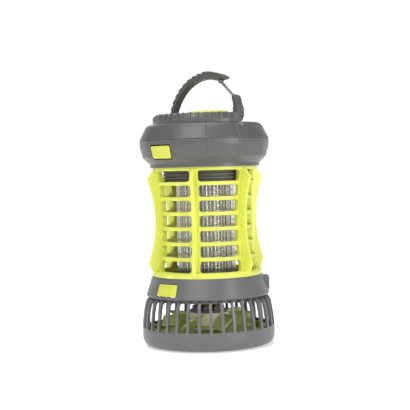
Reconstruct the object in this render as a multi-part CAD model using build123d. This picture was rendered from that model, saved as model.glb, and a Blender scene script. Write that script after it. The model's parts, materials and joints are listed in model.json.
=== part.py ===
"""Electric bug zapper: a hanging lantern with a fan base, a zapper cage and a folding clip handle.

Millimetres, +Z up. The origin is the centre of the standing face under the base.
The front, with both push buttons, faces -Y. The handle's pivot runs along X.
"""

import os
from math import asin, cos, degrees, radians, sin, sqrt

from build123d import *

# ---------------------------------------------------------------- driving dimensions
BASE_R = 63.0            # widest radius of the fan base, and of the whole object
BASE_TOP_Z = 46.8        # top of the base shell's shoulder
COLLAR_Z0 = 47.4         # lower edge of the conical collar
COLLAR_Z1 = 66.8         # collar's top, where the cage stands
CAGE_Z1 = 169.0          # cage's top, under the housing
SEAM_Z0 = 194.3          # top of the lower housing shell
SEAM_Z1 = 194.9          # bottom of the upper housing shell
DECK_Z = 209.8           # flat top of the housing
PIVOT_Y = 2.0            # handle axle, a little behind the middle
PIVOT_Z = 214.8
HANDLE_R = 45.0          # outer radius of the folding handle
HANDLE_W = 9.0           # handle's width, along its axle's normal when raised
LEAN = 7.0               # the raised handle leans back by this angle

WALL = 2.4               # moulded wall thickness
GAP = 0.3                # clearance round a piece that moves
FIT = 0.02               # clearance of a pressed fit
RUN = 0.05               # radial clearance of a running fit

# fan base
SLOTS = 36               # upright slots round the base
SLAT_W = 2.9
SLOT_Z0 = 18.2           # lower ends of the slots
FLOOR_R = 55.6
TRAY_R = 54.2
TRAY_FLOOR_Z = 10.6
TRAY_RIM_Z = 17.4

# fan and motor
HUB_R = 19.5
HUB_Z0 = 17.0
HUB_Z1 = 33.0
BLADES = 7
BLADE_R = 45.0
SHAFT_R = 1.5
COILS = 9

# collar
COLLAR_R0 = 58.8         # outer radius at the lower edge
COLLAR_R1 = 52.5         # outer radius at the top
GUARD_Z0 = 62.2          # grille between the cage and the fan
FLANGE_Z0 = 65.2         # underside of the collar's top flange
LATCH_ANGLE = 135.0      # from the front, to each side
LATCH_R = 59.2
LATCH_W = 15.0

# cage
COLUMNS = 6
ROWS = 7
ROW_PITCH = 14.0
ROW_Z0 = 77.0            # middle of the lowest row of slots
SLOT_H = 10.1
SLOT_SPAN = 50.4         # angle that one slot spans
FIN_R = 57.0

# electrified grid
INSULATOR_Z1 = 72.4      # top of the lower insulator
NECK_Z0 = 154.0          # underside of the ribbed upper insulator
GRID_OUTER_R = 27.4
GRID_INNER_R = 22.6
GRID_Z0 = 75.0
GRID_Z1 = 152.0
GRID_RINGS = 17
GRID_BARS = 12
WIRE_R = 0.55

# housing
HOUSING_R = 61.5
PANELS = 12
BUTTON_W = 24.4
LAMP_Z0 = 176.6          # lamp button's lower edge
LAMP_Z1 = 188.4
FAN_BUTTON_Z0 = 50.4
FAN_BUTTON_Z1 = 61.6
PORT_HINGE_Y = 62.35     # hinge line of the charging port's flap
PORT_HINGE_Z = 179.6
CROWN_R = 48.5
CROWN_TOP_Z = 219.3
CAP_R = 21.8             # round cap on the axle bridge
CAP_Y = 6.0
RIDGE_PITCH = 9.0        # degrees between ridges on the crown and the handle


# ---------------------------------------------------------------- helpers
def turned(*points):
    """Solid of revolution about Z from a closed outline of (radius, z) points."""
    return revolve(Plane.XZ * make_face(Polyline(*points, close=True)), Axis.Z)


def tube(outer, inner, z0, z1):
    """Plain ring or bush about Z."""
    return turned((inner, z0), (outer, z0), (outer, z1), (inner, z1))


def rod(radius, z0, z1):
    """Plain cylinder about Z."""
    return Pos(0, 0, z0) * Cylinder(radius, z1 - z0, align=(Align.CENTER, Align.CENTER, Align.MIN))


def block(x0, x1, y0, y1, z0, z1):
    """Box from its low corner to its high corner."""
    box = Box(x1 - x0, y1 - y0, z1 - z0)
    return Pos((x0 + x1) / 2, (y0 + y1) / 2, (z0 + z1) / 2) * box


def spin(angle):
    """Turn about Z, counted from the front towards +X."""
    return Rot(0, 0, angle)


def ring_of(shape, count, start=0.0):
    """The shape repeated round Z, as a list."""
    return [spin(start + index * 360 / count) * shape for index in range(count)]


def around(shape, radius, count, start=0.0):
    """The shape moved out to the front by radius, then repeated round Z."""
    return ring_of(Pos(0, -radius, 0) * shape, count, start)


def cone_radius(z, z0, r0, z1, r1):
    """Radius of a cone between two levels."""
    return r0 + (r1 - r0) * (z - z0) / (z1 - z0)


def collar_radius(z):
    return cone_radius(z, COLLAR_Z0, COLLAR_R0, COLLAR_Z1, COLLAR_R1)


def rounded_window(half_w, z0, z1, y0, y1, radius):
    """Rounded bar along Y, used to cut a window or to shape a button."""
    bar = block(-half_w, half_w, y0, y1, z0, z1)
    return fillet(bar.edges().filter_by(Axis.Y), radius)


# ---------------------------------------------------------------- fan base
def base_outline():
    """Outer profile of the base shell, from the bottom up, as (radius, z) points."""
    return [
        (58.0, 0.8), (60.4, 2.2), (61.9, 4.6), (62.8, 8.0), (BASE_R, 11.0), (BASE_R, 20.0), (62.3, 27.0),
        (61.2, 35.0), (59.9, 41.0), (58.8, 43.6), (56.9, 45.7), (54.4, BASE_TOP_Z),
    ]


def base_shell():
    outside = base_outline()
    inner_top = [(50.5, BASE_TOP_Z), (50.5, 45.0), (54.0, 44.2), (56.4, 41.6)]
    inner_side = [(58.4, 35.0), (59.9, 27.0), (60.6, 20.0), (60.6, 8.0), (59.2, 5.0)]
    seat = [(FLOOR_R - 1.0, 5.0), (FLOOR_R - 1.0, 3.5), (FLOOR_R + 0.2, 3.5), (FLOOR_R + 0.2, 0.8)]
    shell = turned(*outside, *inner_top, *inner_side, *seat)
    window = tube(BASE_R + 2, 52.6, SLOT_Z0, BASE_TOP_Z + 1)
    slat = block(-SLAT_W / 2, SLAT_W / 2, -BASE_R - 3, -51, SLOT_Z0 - 1, BASE_TOP_Z + 2)
    return shell - (window - ring_of(slat, SLOTS, 180 / SLOTS))


def base_floor():
    plate = rod(FLOOR_R, 0.8, 3.4)
    pockets = around(rod(5.1, 0, 1.8), 46, 4, 45)
    holes = around(rod(1.7, 0, 4) + rod(3.2, 0, 2.4), 34, 3)
    vents = around(rounded_window(1.5, 0, 4, -8, 8, 0.7), 20, 12)
    return plate - pockets - holes - vents


def rubber_feet():
    foot = fillet(rod(5.0, 0, 1.8).edges().filter_by(GeomType.CIRCLE).group_by(Axis.Z)[0], 0.5)
    return Compound(children=around(foot, 46, 4, 45))


def tray_screws():
    screw = rod(3.0, 1.0, 2.4) + rod(1.25, 2.4, 8.0)
    slot = block(-2.2, 2.2, -0.35, 0.35, 0.9, 1.6)
    return Compound(children=around(screw - slot, 34, 3))


def bug_tray():
    skirt = tube(TRAY_R, TRAY_R - 1.5, 3.5, TRAY_RIM_Z)
    floor = rod(TRAY_R - 0.5, TRAY_FLOOR_Z, TRAY_FLOOR_Z + 1.4)
    bosses = around(rod(3.4, 3.5, TRAY_FLOOR_Z + 0.4), 34, 3)
    pilots = around(rod(1.3, 3.0, 8.4), 34, 3)
    return skirt + floor + bosses - pilots


# ---------------------------------------------------------------- fan and motor
def fan_hub():
    cup = rod(HUB_R, HUB_Z0, HUB_Z1) - rod(HUB_R - 1.8, HUB_Z0 + 1.6, HUB_Z1 + 1)
    cup = fillet(cup.edges().filter_by(GeomType.CIRCLE).group_by(Axis.Z)[0], 1.2)
    boss = rod(3.4, HUB_Z0 + 1, HUB_Z0 + 5.4)
    return cup + boss - rod(SHAFT_R + FIT, HUB_Z0 + 1, HUB_Z0 + 6)


def fan_blade():
    """One blade: its chord turns flatter from the root to the tip."""
    sections = []
    for radius, chord, pitch in ((HUB_R + 0.6, 17.0, 52), (33.0, 22.0, 44), (BLADE_R, 26.0, 37)):
        plane = Plane(origin=(0, -radius, 24.6), x_dir=(1, 0, 0), z_dir=(0, -1, 0))
        sections.append(plane * (Rot(0, 0, pitch) * RectangleRounded(chord, 1.6, 0.7)))
    return loft(sections)


def fan_blades():
    """Seven blades on a low band that is pressed on the hub."""
    band = tube(HUB_R + 2.4, HUB_R + FIT, HUB_Z0 + 0.6, HUB_Z0 + 4.0)
    limit = tube(BLADE_R, HUB_R + 0.4, HUB_Z0 + 0.8, HUB_Z1 - 1.2)
    blade = fan_blade() & limit
    return band + ring_of(blade, BLADES)


def rotor_magnet():
    return tube(HUB_R - 1.8 - FIT, HUB_R - 3.4, 22.0, HUB_Z1)


def fan_shaft():
    return rod(SHAFT_R, HUB_Z0 + 1.02, 43.4)


def motor_bushes():
    bush = tube(3.0, SHAFT_R + RUN, 0, 4)
    return Compound(children=[Pos(0, 0, 24.2) * bush, Pos(0, 0, 39.6) * bush])


def motor_core():
    hub = tube(7.4, 4.02, 30.5, 36.5)
    tooth = block(-1.1, 1.1, -14.6, -7, 30.5, 36.5)
    shoe = (tube(15.5, 14.0, 30.5, 36.5) & block(-4.2, 4.2, -17, -10, 30, 37))
    return hub + ring_of(tooth + shoe, COILS)


def motor_coils():
    coil = rounded_window(2.5, 29.2, 37.8, -13.7, -8.6, 0.9) - block(-1.12, 1.12, -14, -8, 30.48, 36.52)
    return Compound(children=ring_of(coil, COILS))


def motor_bracket():
    """Bearing tube, disc and three arms that hang the motor from the guard."""
    hub = rod(17.0, 44.4, 46.4) + rod(4.0, 24.0, 44.4)
    arm = block(-3, 3, -45, -10, 44.8, 48.0)
    post = Pos(0, -44.5, 0) * rod(3.0, 44.8, GUARD_Z0)
    pilot = Pos(0, -44.5, 0) * rod(1.3, 40, 56)
    bracket = hub + ring_of(arm + post, 3, 60) - ring_of(pilot, 3, 60)
    return bracket - rod(3.0 + FIT, 24.0, 44.0)


def motor_board():
    board = tube(16.4, 4.3, 39.0, 40.4)
    chips = [spin(angle) * block(-2, 2, -13.5, -9.5, 40.4, 42.0) for angle in (20, 140, 260)]
    return board + chips


def bracket_screws():
    screw = rod(2.6, 43.4, 44.8) + rod(1.2, 44.8, 54.0)
    cross = block(-1.6, 1.6, -0.3, 0.3, 43.2, 44.0) + block(-0.3, 0.3, -1.6, 1.6, 43.2, 44.0)
    return Compound(children=around(screw - cross, 44.5, 3, 60))


# ---------------------------------------------------------------- collar
def collar_window():
    """Front window round the fan button."""
    return rounded_window(BUTTON_W / 2 + GAP, FAN_BUTTON_Z0 - GAP, FAN_BUTTON_Z1 + GAP, -64, -42, 1.6)


def latch_window():
    bar = block(-LATCH_W / 2 - GAP, LATCH_W / 2 + GAP, -64, -44, 49.4, 64.9)
    return fillet(bar.edges().filter_by(Axis.Y), 1.4)


def collar():
    shell = turned(
        (COLLAR_R0 - 1.2, COLLAR_Z0), (COLLAR_R0, COLLAR_Z0 + 1.4), (COLLAR_R1 + 0.6, COLLAR_Z1 - 1.2),
        (COLLAR_R1 - 0.4, COLLAR_Z1), (43.0, COLLAR_Z1), (43.0, FLANGE_Z0), (collar_radius(FLANGE_Z0) - 2.6, FLANGE_Z0),
        (COLLAR_R0 - 2.8, COLLAR_Z0 + 1.2), (COLLAR_R0 - 2.8, COLLAR_Z0),
    )
    latches = [spin(side * LATCH_ANGLE) * latch_window() for side in (-1, 1)]
    return shell - collar_window() - latches


def fan_guard():
    """Finger guard: two rings and spokes, with the seat of the lower insulator in the middle."""
    rim = tube(47.5, 41.5, GUARD_Z0, FLANGE_Z0)
    middle = tube(35.6, 34.0, GUARD_Z0, FLANGE_Z0 - 1.0)
    seat = rod(28.0, GUARD_Z0, FLANGE_Z0)
    spokes = ring_of(block(-0.9, 0.9, -42, -27, GUARD_Z0, FLANGE_Z0 - 0.6), 24)
    return rim + middle + seat + spokes


def skin(z0, z1, proud, depth):
    """Ring that follows the collar's cone between two levels."""
    return turned(
        (collar_radius(z0) - depth, z0), (collar_radius(z0) + proud, z0),
        (collar_radius(z1) + proud, z1), (collar_radius(z1) - depth, z1),
    )


def fan_button():
    bar = rounded_window(BUTTON_W / 2, FAN_BUTTON_Z0, FAN_BUTTON_Z1, -62, -48.0, 1.4)
    face = bar & skin(FAN_BUTTON_Z0 - 1, FAN_BUTTON_Z1 + 1, 0.3, 9.0)
    flange = block(-13.8, 13.8, -49.2, -47.8, FAN_BUTTON_Z0 - 1.2, FAN_BUTTON_Z1 - 1.0)
    stem = Pos(0, -46.8, 55.5) * Rot(90, 0, 0) * Cylinder(2.0, 2.4)
    return face + flange + stem


def fan_switch():
    board = block(-12, 12, -41.6, -40.2, 50.0, 60.0)
    switch = block(-3, 3, -44.0, -41.6, 52.5, 58.5)
    plunger = Pos(0, -44.1, 55.5) * Rot(90, 0, 0) * Cylinder(1.4, 0.6)
    return board + switch + plunger


def latch():
    """Squeeze latch of the base, drawn at the front."""
    bar = block(-LATCH_W / 2, LATCH_W / 2, -61, -50.6, 49.7, 64.6)
    bar = fillet(bar.edges().filter_by(Axis.Y), 1.2)
    pad = bar & rod(LATCH_R, 49, 65)
    grooves = [block(-5, 5, -LATCH_R - 1, -LATCH_R + 0.9, z, z + 1.2) for z in (53.5, 56.3, 59.1)]
    neck = block(-6.5, 6.5, -51.0, -49.0, 50.6, 60.6)
    flange = block(-9.4, 9.4, -49.6, -48.2, 50.2, 61.0)
    return pad - grooves + neck + flange


# ---------------------------------------------------------------- cage
def cage_outline(offset):
    """Outer radius of the waisted cage wall at seven levels, less an offset."""
    levels = ((71.7, 48.4), (80, 46.8), (95, 44.9), (118, 44.0), (140, 44.9), (155, 46.6), (165.9, 48.0))
    return [(radius - offset, z) for z, radius in levels]


def cage_wall():
    outer = Spline(*[(radius, z) for radius, z in cage_outline(0)])
    inner = Spline(*[(radius, z) for radius, z in cage_outline(3.0)])
    edges = outer + inner + Line(outer @ 0, inner @ 0) + Line(outer @ 1, inner @ 1)
    return revolve(Plane.XZ * make_face(edges), Axis.Z)


def cage_fin():
    """Upright fin, drawn at the front, with its pointed shoulders and hollow back."""
    outline = [(46.2, 68.6), (52.0, 68.6), (FIN_R, 79.0)]
    low = Line(outline[1], outline[2])
    hollow = ThreePointArc((FIN_R, 79.0), (50.0, 119.0), (FIN_R, 159.0))
    high = Polyline((FIN_R, 159.0), (50.2, 167.2), (46.2, 167.2))
    back = ThreePointArc((46.2, 167.2), (42.6, 118.0), (46.2, 68.6))
    face = make_face(Line(outline[0], outline[1]) + low + hollow + high + back)
    return spin(-90) * (Plane.XZ * extrude(face, 1.5, both=True))


def whole_cage():
    bottom = turned((44.2, COLLAR_Z1), (51.9, COLLAR_Z1), (51.9, 70.4), (51.0, 71.7), (44.2, 71.7))
    top = turned((44.2, 165.9), (48.8, 165.9), (49.6, 166.9), (49.6, CAGE_Z1), (44.2, CAGE_Z1))
    wall = cage_wall()
    slot_angle = radians(SLOT_SPAN / 2)
    for row in range(ROWS):
        z = ROW_Z0 + row * ROW_PITCH
        half = 46.5 * sin(slot_angle)
        bar = rounded_window(half, z - SLOT_H / 2, z + SLOT_H / 2, -60, -20, 2.8)
        wall -= ring_of(bar, COLUMNS)
    heads = around(rod(2.8, 165, 167.4) + rod(1.5, 165, 170), 46.8, 3, 30)
    return wall + bottom + top + ring_of(cage_fin(), COLUMNS, 30) - heads


def cage_half(side):
    """Front or back half of the cage; the two meet in the middle of the side fins."""
    return whole_cage() & Pos(0, side * 50.0, 120.0) * Box(140.0, 100.0, 140.0)


def cage_screws():
    """Three screws that hold the cage under the housing."""
    screw = rod(2.5, 166.0, 167.4) + rod(1.2, 167.4, 179.0)
    cross = block(-1.5, 1.5, -0.3, 0.3, 165.8, 166.6) + block(-0.3, 0.3, -1.5, 1.5, 165.8, 166.6)
    return Compound(children=around(screw - cross, 46.8, 3, 30))


# ---------------------------------------------------------------- electrified grid and lamp
def lower_insulator():
    body = turned((0, FLANGE_Z0), (28.0, FLANGE_Z0), (28.0, INSULATOR_Z1 - 1.2), (27.4, INSULATOR_Z1),
                  (0, INSULATOR_Z1))
    socket = rod(9.3, 69.0, 73)
    feet = around(rod(1.2, 68.0, 73), 24.6, 6, 30)
    return body - socket - feet


def grid(radius, z0, z1, rings, start):
    """Cylindrical wire grid: rings on upright bars that stand between the insulators."""
    pitch = (z1 - z0) / (rings - 1)
    bars = around(rod(WIRE_R, INSULATOR_Z1, NECK_Z0), radius - WIRE_R, GRID_BARS, start)
    loops = [Pos(0, 0, z0 + index * pitch) * Torus(radius, WIRE_R) for index in range(rings)]
    return Part() + loops + bars


def grid_posts():
    """Six tie rods that hold the two insulators apart, between the grids."""
    return Compound(children=around(rod(1.15, 68.2, 158.0), 24.6, 6, 30))


def uv_tube():
    """Glass lamp tube with closed, rounded lower end."""
    outside = rod(9.0, 69.4, 160.0)
    outside = fillet(outside.edges().group_by(Axis.Z)[0], 4.0)
    return outside - rod(7.8, 73.0, 161.0)


def led_core():
    """Three-sided strip of ultraviolet diodes inside the tube."""
    core = extrude(RegularPolygon(5.0, 3), 80.0)
    chips = []
    for side in range(3):
        for index in range(9):
            chip = block(-1.4, 1.4, -3.3, -2.4, 4 + index * 8.6, 6.8 + index * 8.6)
            chips.append(spin(60 + side * 120) * chip)
    return Pos(0, 0, 76.0) * (core + chips)


def neck():
    """Ribbed upper insulator that hangs through the housing's floor."""
    outline = [(0, NECK_Z0), (38.4, NECK_Z0)]
    z = NECK_Z0 + 1.0
    while z < 167.5:
        outline += [(40.0, z), (40.0, z + 1.5), (38.8, z + 2.0), (38.8, z + 2.8)]
        z += 3.2
    outline += [(40.0, 169.0), (40.0, 172.0), (43.0, 172.0), (43.0, 174.0), (36.5, 174.0), (36.5, 158.2), (0, 158.2)]
    posts = around(rod(1.2, 150, 160), 24.6, 6, 30)
    return turned(*outline) - rod(9.2, 150, 162) - posts


def lamp_holder():
    cap = tube(12.0, 9.2, 158.2, 168.0) + rod(12.0, 164.0, 168.0)
    wires = [Pos(x, 0, 0) * rod(0.9, 160.4, 164.2) for x in (-3, 3)]
    return cap + wires


# ---------------------------------------------------------------- housing
def housing_profile(inset):
    """Outer outline of the closed housing, as (radius, z), moved in by an inset."""
    points = [(52.0, 169.0), (52.0, 172.2), (58.7, 178.6), (HOUSING_R, 189.6), (HOUSING_R, 195.4),
              (56.4, 206.6), (54.6, 208.9), (52.4, DECK_Z)]
    return [(radius - inset, z) for radius, z in points]


def housing_body(inset):
    return turned((0, 169.0), *housing_profile(inset), (0, DECK_Z))


def housing_outside():
    """Round housing with twelve shallow upright panel grooves."""
    grooves = ring_of(block(-0.6, 0.6, -70, -48, 171.5, 208.4), PANELS, 15)
    return (housing_body(0) - grooves) + (housing_body(0.7) & block(-70, 70, -70, 70, 169.5, 209.3))


def housing_hollow():
    return turned((0, 172.0), (49.6, 172.0), (49.6, 173.4), (56.1, 179.6), (HOUSING_R - WALL, 190.2),
                  (HOUSING_R - WALL, 195.0), (54.4, 205.6), (52.4, 207.4), (0, 207.4))


def lamp_window():
    return rounded_window(BUTTON_W / 2 + GAP, LAMP_Z0 - GAP, LAMP_Z1 + GAP, -66, -44, 1.6)


def port_pad():
    """Flat pad at the back that carries the charging port."""
    return fillet(block(-10, 10, 54, 61.4, 177.0, 191.0).edges().filter_by(Axis.Y), 2.0)


def housing_lower():
    outside = housing_outside() & block(-70, 70, -70, 70, 169, SEAM_Z0)
    cavity = housing_hollow() - (port_pad() & block(-10, 10, 54, 62, 170, 200))
    shell = outside + port_pad() - cavity
    pillars = around(rod(3.4, 171.0, SEAM_Z0 - 0.2), 46.4, 4, 45)
    anchors = around(rod(3.0, 171.0, 180.5), 46.8, 3, 30)
    pilots = around(rod(1.25, 180, 196), 46.4, 4, 45) + around(rod(1.3, 168, 179.4), 46.8, 3, 30)
    port = block(-4.9, 4.9, 50, 64, 182.2, 186.2)
    return shell + pillars + anchors - pilots - rod(40.3, 168, 173) - lamp_window() - port


def housing_upper():
    outside = housing_outside() & block(-70, 70, -70, 70, SEAM_Z1, 212)
    shell = outside - housing_hollow()
    pillars = around(rod(3.4, SEAM_Z1, 208.0), 46.4, 4, 45)
    holes = around(rod(1.5, 190, 212) + rod(2.9, 207.9, 212), 46.4, 4, 45)
    return shell + pillars - holes - rod(6.0, 206, 212)


def housing_screws():
    """Four long screws from the deck down into the lower shell's pillars."""
    screw = rod(2.6, 207.9, 209.4) + rod(1.2, 184.0, 207.9)
    cross = block(-1.6, 1.6, -0.3, 0.3, 208.8, 209.6) + block(-0.3, 0.3, -1.6, 1.6, 208.8, 209.6)
    return Compound(children=around(screw - cross, 46.4, 4, 45))


def housing_seal():
    return tube(HOUSING_R - 0.5, HOUSING_R - 2.3, SEAM_Z0, SEAM_Z1)


def housing_radius(z):
    return cone_radius(z, 178.6, 58.7, 189.6, HOUSING_R)


def lamp_button():
    z0, z1 = LAMP_Z0, LAMP_Z1
    bar = rounded_window(BUTTON_W / 2, z0, z1, -66, -53.4, 1.4)
    bend = 178.6
    low = bend - z0
    face = bar & turned((40, z0 - 1), (58.7 + 0.3 - (low + 1) * 1.047, z0 - 1), (58.7 + 0.3, bend),
                        (housing_radius(z1 + 1) + 0.3, z1 + 1), (40, z1 + 1))
    flange = block(-13.8, 13.8, -54.0, -52.8, z0 + 3.4, z1 - 0.6)
    stem = Pos(0, -52.2, 183.0) * Rot(90, 0, 0) * Cylinder(2.0, 2.0)
    return face + flange + stem


def lamp_switch():
    board = block(-13, 13, -47.0, -45.4, 175.0, 191.0)
    switch = block(-3, 3, -49.4, -47.0, 180.0, 186.0)
    plunger = Pos(0, -49.5, 183.0) * Rot(90, 0, 0) * Cylinder(1.4, 0.6)
    return board + switch + plunger


def battery_cells():
    cell = Rot(0, 90, 0) * (Cylinder(9.1, 65.0) + Pos(0, 0, 33.0) * Cylinder(2.8, 1.6))
    return Compound(children=[Pos(0, y, 185.6) * cell for y in (-9.6, 9.6)])


def battery_holder():
    body = block(-35.6, 35.6, -20.6, 20.6, 174.0, 184.0)
    beds = [Pos(0, y, 185.6) * Rot(0, 90, 0) * Cylinder(9.3, 68.0) for y in (-9.6, 9.6)]
    return body - beds


def control_board():
    board = rod(41.5, 197.0, 198.6)
    chips = block(-30, -20, -6, 6, 198.6, 200.4) + block(-8, 4, 18, 26, 198.6, 200.8)
    capacitor = Pos(22, -18, 0) * rod(5.0, 198.6, 206.0)
    diodes = [block(x, x + 5, -28, -25.6, 198.6, 200.8) for x in (-24, -16, -8)]
    return board + chips + capacitor + diodes


def hv_transformer():
    """High-voltage coil: a ferrite frame round a wound bobbin."""
    frame = block(8, 28, 4, 20, 198.6, 206.6) - block(11, 25, 3, 21, 201.0, 204.6)
    bobbin = block(11.2, 24.8, 5.4, 18.6, 201.2, 204.4)
    return frame + bobbin


def charging_socket():
    shell = rounded_window(4.4, 182.5, 185.9, 52.6, 60.9, 1.2)
    return shell - rounded_window(3.9, 183.0, 185.4, 54.6, 62.0, 1.0) + block(-2.8, 2.8, 54.0, 59.6, 183.9, 184.5)


def charge_board():
    return block(-8, 8, 42.0, 53.4, 180.6, 181.9) + block(-3, 3, 44, 48, 181.9, 183.4)


def on_port_hinge(shape):
    """Lay a piece drawn along Z on the flap's hinge line."""
    return Pos(0, PORT_HINGE_Y, PORT_HINGE_Z) * Rot(0, 90, 0) * shape


def port_cover():
    """Rubber flap over the charging port, hinged along its lower edge."""
    flap = rounded_window(7.4, 180.6, 188.6, 61.7, 63.0, 1.6)
    web = block(-4.5, 4.5, 61.9, 62.8, 179.9, 181.0)
    plug = rounded_window(3.5, 183.3, 184.9, 60.2, 61.8, 0.6)
    return flap + web + plug + on_port_hinge(Cylinder(0.65, 9.0)) - on_port_hinge(Cylinder(0.35, 12.0))


def port_pin():
    lugs = [block(x, x + 1.2, 61.4, 63.0, 178.9, 180.3) for x in (-6.4, 5.2)]
    return on_port_hinge(Cylinder(0.3, 12.6)) + lugs


# ---------------------------------------------------------------- top: crown, dome and cap
def crown_ring():
    """Fixed ridged half ring on the front of the deck."""
    outline = [(42.6, DECK_Z), (CROWN_R, DECK_Z), (CROWN_R, 215.4), (47.6, 217.4), (45.8, 218.8), (43.6, CROWN_TOP_Z),
               (42.6, CROWN_TOP_Z)]
    ring = turned(*outline) & block(-60, 60, -60, -3.2, 200, 230)
    notch = Pos(0, -CROWN_R, 0) * block(-1.5, 1.5, -1.5, 1.2, 213.8, 222)
    top_notch = block(-1.4, 1.4, -CROWN_R, -44.6, 218.3, 222)
    count = int(160 / RIDGE_PITCH)
    for index in range(count + 1):
        angle = (index - count / 2) * RIDGE_PITCH
        ring -= spin(angle) * (notch + top_notch)
    return ring


def top_bridge():
    """Low bar across the deck that carries the handle's axle, with the cap's round seat on it."""
    bar = block(-37.4, 37.4, PIVOT_Y - 5, PIVOT_Y + 5, DECK_Z, 218.8)
    bar = fillet(bar.edges().filter_by(Axis.X).group_by(Axis.Z)[-1], 2.4)
    seat = turned((0, DECK_Z), (CAP_R + 1.0, DECK_Z), (CAP_R + 1.0, 217.6), (CAP_R, 219.0), (0, 219.0))
    bore = Pos(0, PIVOT_Y, PIVOT_Z) * Rot(0, 90, 0) * Cylinder(SHAFT_R + RUN, 90)
    return bar + Pos(0, CAP_Y, 0) * (seat - rod(CAP_R - 0.8 + FIT, 217.4, 222)) - bore \
        - Pos(0, CAP_Y, 0) * rod(CAP_R - 0.8 + FIT, 217.4, 222)


def top_cap():
    """Domed green cap pressed into the bridge's seat."""
    rim = CAP_R - 0.8
    cap = turned((0, 217.4), (rim, 217.4), (rim, 220.2), (rim - 1.2, 221.4), (rim - 5, 222.1), (0, 222.4))
    return Pos(0, CAP_Y, 0) * cap


# ---------------------------------------------------------------- folding clip handle
def raised(shape):
    """Put a piece drawn upright round the origin onto the axle, with its lean."""
    return Pos(0, PIVOT_Y, PIVOT_Z) * Rot(-LEAN, 0, 0) * shape


def sector(start, end, outer, inner, shift=(0.0, 0.0)):
    """Arched bar in the XZ plane between two angles, as wide as the handle."""
    outside = Plane.XZ * extrude(Circle(outer), HANDLE_W / 2, both=True)
    inside = Plane.XZ * extrude(Circle(inner), HANDLE_W, both=True)
    far = outer * 3
    wedge = [(0, 0)]
    steps = max(2, int((end - start) / 40) + 1)
    for index in range(steps + 1):
        angle = radians(start + (end - start) * index / steps)
        wedge.append((far * cos(angle), far * sin(angle)))
    cut = Plane.XZ * extrude(make_face(Polyline(*wedge, close=True)), HANDLE_W, both=True)
    return (outside - Pos(shift[0], 0, shift[1]) * inside) & cut


def pivot_foot(side):
    """Round foot on the axle at one end of the handle."""
    x = side * (HANDLE_R - 2.5)
    return Pos(x, 0, 0) * Rot(0, 90, 0) * Cylinder(HANDLE_W / 2, 5.0)


def ridge_notch(angle):
    """Shallow groove across the handle's outer face."""
    cut = Pos(HANDLE_R + 0.4, 0, 0) * Rot(0, 45, 0) * Box(1.9, HANDLE_W + 2, 1.9)
    return Rot(0, -angle, 0) * cut


def axle_hole():
    return Rot(0, 90, 0) * Cylinder(SHAFT_R + FIT, 120)


NOSE_ANGLE = 57.0        # arch's free end, from +X
POST_ANGLE = 26.0        # top of the short post, from +X
GATE_POST_ANGLE = 22.0   # gate's pin in the post
GATE_PIN_R = 0.8
GATE_R = 42.6


def polar(radius, angle):
    return radius * cos(radians(angle)), radius * sin(radians(angle))


def handle_arch():
    """Arch from the far foot over the top to the nose, with a hooked lug that stops the gate."""
    bar = sector(NOSE_ANGLE, 180, HANDLE_R, 39.3, (-0.8, -1.2)) + sector(176, 180, HANDLE_R, HANDLE_R - 5)
    bar = (bar + pivot_foot(-1)) & block(-60, 60, -20, 20, -HANDLE_W / 2, 60)
    for index in range(9):
        bar -= ridge_notch(172 - index * RIDGE_PITCH)
    x, z = polar(38.6, NOSE_ANGLE + 2.5)
    lug = Pos(x, 0, z) * Rot(0, -NOSE_ANGLE, 0) * Box(4.2, 6.8, 3.6)
    return raised(bar + lug - along_gate(block(18, 32, -2.3, 2.3, -8, 0.95)) - axle_hole())


def handle_post():
    bar = sector(0, POST_ANGLE, HANDLE_R, HANDLE_R - 5.2)
    knuckle = sector(0, 12, HANDLE_R + 0.9, HANDLE_R - 6.0) + pivot_foot(1)
    x, z = polar(HANDLE_R - 2.6, POST_ANGLE)
    tip = Pos(x, 0, z) * Rot(90, 0, 0) * Cylinder(2.6, HANDLE_W)
    post = (bar + knuckle + tip) & block(0, 60, -20, 20, -HANDLE_W / 2, 60)
    px, pz = polar(GATE_R, GATE_POST_ANGLE)
    pin_hole = Pos(px, 0, pz) * Rot(90, 0, 0) * Cylinder(GATE_PIN_R + FIT, 20)
    slot = Pos(px, 0, pz) * Rot(90, 0, 0) * Cylinder(1.9, 4.6)
    mouth = Pos(px, 0, pz) * Rot(0, -136, 0) * Pos(3.0, 0, 0) * Box(8.0, 4.6, 3.0)
    swing = Pos(px, 0, pz) * Rot(0, -158, 0) * Pos(3.0, 0, 0) * Box(8.0, 4.6, 4.6)
    return raised(post - pin_hole - slot - mouth - swing - axle_hole())


def handle_axle():
    return raised(Rot(0, 90, 0) * Cylinder(SHAFT_R, 2 * HANDLE_R - 1.6))


def gate_pin():
    px, pz = polar(GATE_R, GATE_POST_ANGLE)
    return raised(Pos(px, 0, pz) * Rot(90, 0, 0) * Cylinder(GATE_PIN_R, HANDLE_W - 0.4))


def gate_frame():
    """Length of the closed gate from its pin to the nose, and its slope in the upright plane."""
    (px, pz), (nx, nz) = polar(GATE_R, GATE_POST_ANGLE), polar(38.4, NOSE_ANGLE + 1.0)
    length = sqrt((nx - px) ** 2 + (nz - pz) ** 2)
    return px, pz, length, degrees(asin((nz - pz) / length))


def along_gate(shape):
    """Lay a piece drawn along +X on the closed gate, its +Z facing out of the loop."""
    px, pz, _, angle = gate_frame()
    return Pos(px, 0, pz) * Rot(0, angle, 0) * Rot(0, 0, 180) * shape


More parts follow.
